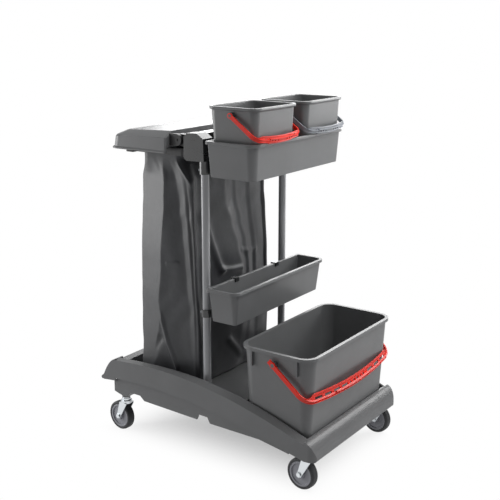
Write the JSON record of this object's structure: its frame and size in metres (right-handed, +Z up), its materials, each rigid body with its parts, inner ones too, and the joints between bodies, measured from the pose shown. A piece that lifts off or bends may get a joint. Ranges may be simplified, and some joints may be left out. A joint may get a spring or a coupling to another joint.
{
  "type": "janitor cart",
  "caption": "Cleaning cart on swivel casters: arched base, tube posts, hinged lid over a hanging bag, trays and lift-out buckets with swinging bails.",
  "frame": {"origin": "on the floor, under the middle of the base", "axes": "+X along the cart to the large bucket, +Y across to the far side, +Z up"},
  "size_m": [0.8544, 0.536, 1.132],
  "materials": {
    "grey_plastic": "moulded satin",
    "post_tube": "grey coated tube",
    "black_plastic": "moulded matt",
    "bag_sheet": "coated sheet",
    "red_plastic": "moulded gloss",
    "pale_plastic": "moulded gloss",
    "zinc_steel": "bright zinc plate",
    "screw_steel": "plain",
    "wheel_plastic": "moulded",
    "tyre_rubber": "grey rubber"
  },
  "bodies": {
    "cart": {"chassis": "grey_plastic", "near_rail": "grey_plastic", "far_rail": "grey_plastic", "bag_end_bumper": "grey_plastic", "bucket_end_bumper": "grey_plastic", "base_screws": "screw_steel", "near_post": "post_tube", "far_post": "post_tube", "near_head": "grey_plastic", "far_head": "grey_plastic", "top_beam": "grey_plastic", "hinge_pins": "screw_steel", "lid_rests": "black_plastic", "bag_frame": "black_plastic", "bag": "bag_sheet", "mid_tray": "grey_plastic", "mid_tray_bracket": "black_plastic", "top_tray": "grey_plastic", "top_tray_bracket": "black_plastic", "bracket_screws": "screw_steel", "caster_stem_1": "zinc_steel", "caster_stem_2": "zinc_steel", "caster_stem_3": "zinc_steel", "caster_stem_4": "zinc_steel"},
    "lid": {"lid": "grey_plastic"},
    "large_bucket": {"large_bucket": "grey_plastic"},
    "large_bail": {"large_bail": "red_plastic"},
    "near_bucket": {"near_bucket": "grey_plastic"},
    "near_bail": {"near_bail": "red_plastic"},
    "far_bucket": {"far_bucket": "grey_plastic"},
    "far_bail": {"far_bail": "pale_plastic"},
    "caster_1": {"caster_fork_1": "zinc_steel", "caster_axle_1": "zinc_steel"},
    "wheel_1": {"caster_wheel_1": "wheel_plastic", "caster_tyre_1": "tyre_rubber", "wheel_bush_1": "zinc_steel"},
    "caster_2": {"caster_fork_2": "zinc_steel", "caster_axle_2": "zinc_steel"},
    "wheel_2": {"caster_wheel_2": "wheel_plastic", "caster_tyre_2": "tyre_rubber", "wheel_bush_2": "zinc_steel"},
    "caster_3": {"caster_fork_3": "zinc_steel", "caster_axle_3": "zinc_steel"},
    "wheel_3": {"caster_wheel_3": "wheel_plastic", "caster_tyre_3": "tyre_rubber", "wheel_bush_3": "zinc_steel"},
    "caster_4": {"caster_fork_4": "zinc_steel", "caster_axle_4": "zinc_steel"},
    "wheel_4": {"caster_wheel_4": "wheel_plastic", "caster_tyre_4": "tyre_rubber", "wheel_bush_4": "zinc_steel"}
  },
  "joints": [
    {"name": "lid_hinge", "type": "hinge", "parent": "cart", "child": "lid", "pos_m": [-0.09975, 0, 1.02], "axis": [0, 1, 0], "range_deg": [0, 95]},
    {"name": "large_bucket_lift", "type": "slide", "parent": "cart", "child": "large_bucket", "axis": [0, 0, 1], "range_m": [0, 0.28]},
    {"name": "large_bail_swing", "type": "hinge", "parent": "large_bucket", "child": "large_bail", "pos_m": [0.27475, 0, 0.382], "axis": [0, -1, 0], "range_deg": [0, 165]},
    {"name": "near_bucket_lift", "type": "slide", "parent": "cart", "child": "near_bucket", "axis": [0, 0, 1], "range_m": [0, 0.2]},
    {"name": "near_bail_swing", "type": "hinge", "parent": "near_bucket", "child": "near_bail", "pos_m": [0.11535, -0.137, 1.108], "axis": [0, -1, 0], "range_deg": [0, 160]},
    {"name": "far_bucket_lift", "type": "slide", "parent": "cart", "child": "far_bucket", "axis": [0, 0, 1], "range_m": [0, 0.2]},
    {"name": "far_bail_swing", "type": "hinge", "parent": "far_bucket", "child": "far_bail", "pos_m": [0.11535, 0.135, 1.108], "axis": [0, -1, 0], "range_deg": [0, 160]},
    {"name": "caster_swivel_1", "type": "hinge", "parent": "cart", "child": "caster_1", "pos_m": [-0.34075, -0.24004, 0.112], "axis": [0, 0, 1], "continuous": true},
    {"name": "caster_swivel_2", "type": "hinge", "parent": "cart", "child": "caster_2", "pos_m": [-0.34075, 0.24004, 0.112], "axis": [0, 0, 1], "continuous": true},
    {"name": "caster_swivel_3", "type": "hinge", "parent": "cart", "child": "caster_3", "pos_m": [0.39169, -0.24004, 0.112], "axis": [0, 0, 1], "continuous": true},
    {"name": "caster_swivel_4", "type": "hinge", "parent": "cart", "child": "caster_4", "pos_m": [0.39169, 0.24004, 0.112], "axis": [0, 0, 1], "continuous": true},
    {"name": "wheel_spin_1", "type": "hinge", "parent": "caster_1", "child": "wheel_1", "pos_m": [-0.36466, -0.23795, 0.05], "axis": [0.0872, 0.9962, 0], "continuous": true},
    {"name": "wheel_spin_2", "type": "hinge", "parent": "caster_2", "child": "wheel_2", "pos_m": [-0.36466, 0.24213, 0.05], "axis": [0.0872, 0.9962, 0], "continuous": true},
    {"name": "wheel_spin_3", "type": "hinge", "parent": "caster_3", "child": "wheel_3", "pos_m": [0.36778, -0.23795, 0.05], "axis": [0.0872, 0.9962, 0], "continuous": true},
    {"name": "wheel_spin_4", "type": "hinge", "parent": "caster_4", "child": "wheel_4", "pos_m": [0.36778, 0.24213, 0.05], "axis": [0.0872, 0.9962, 0], "continuous": true}
  ]
}
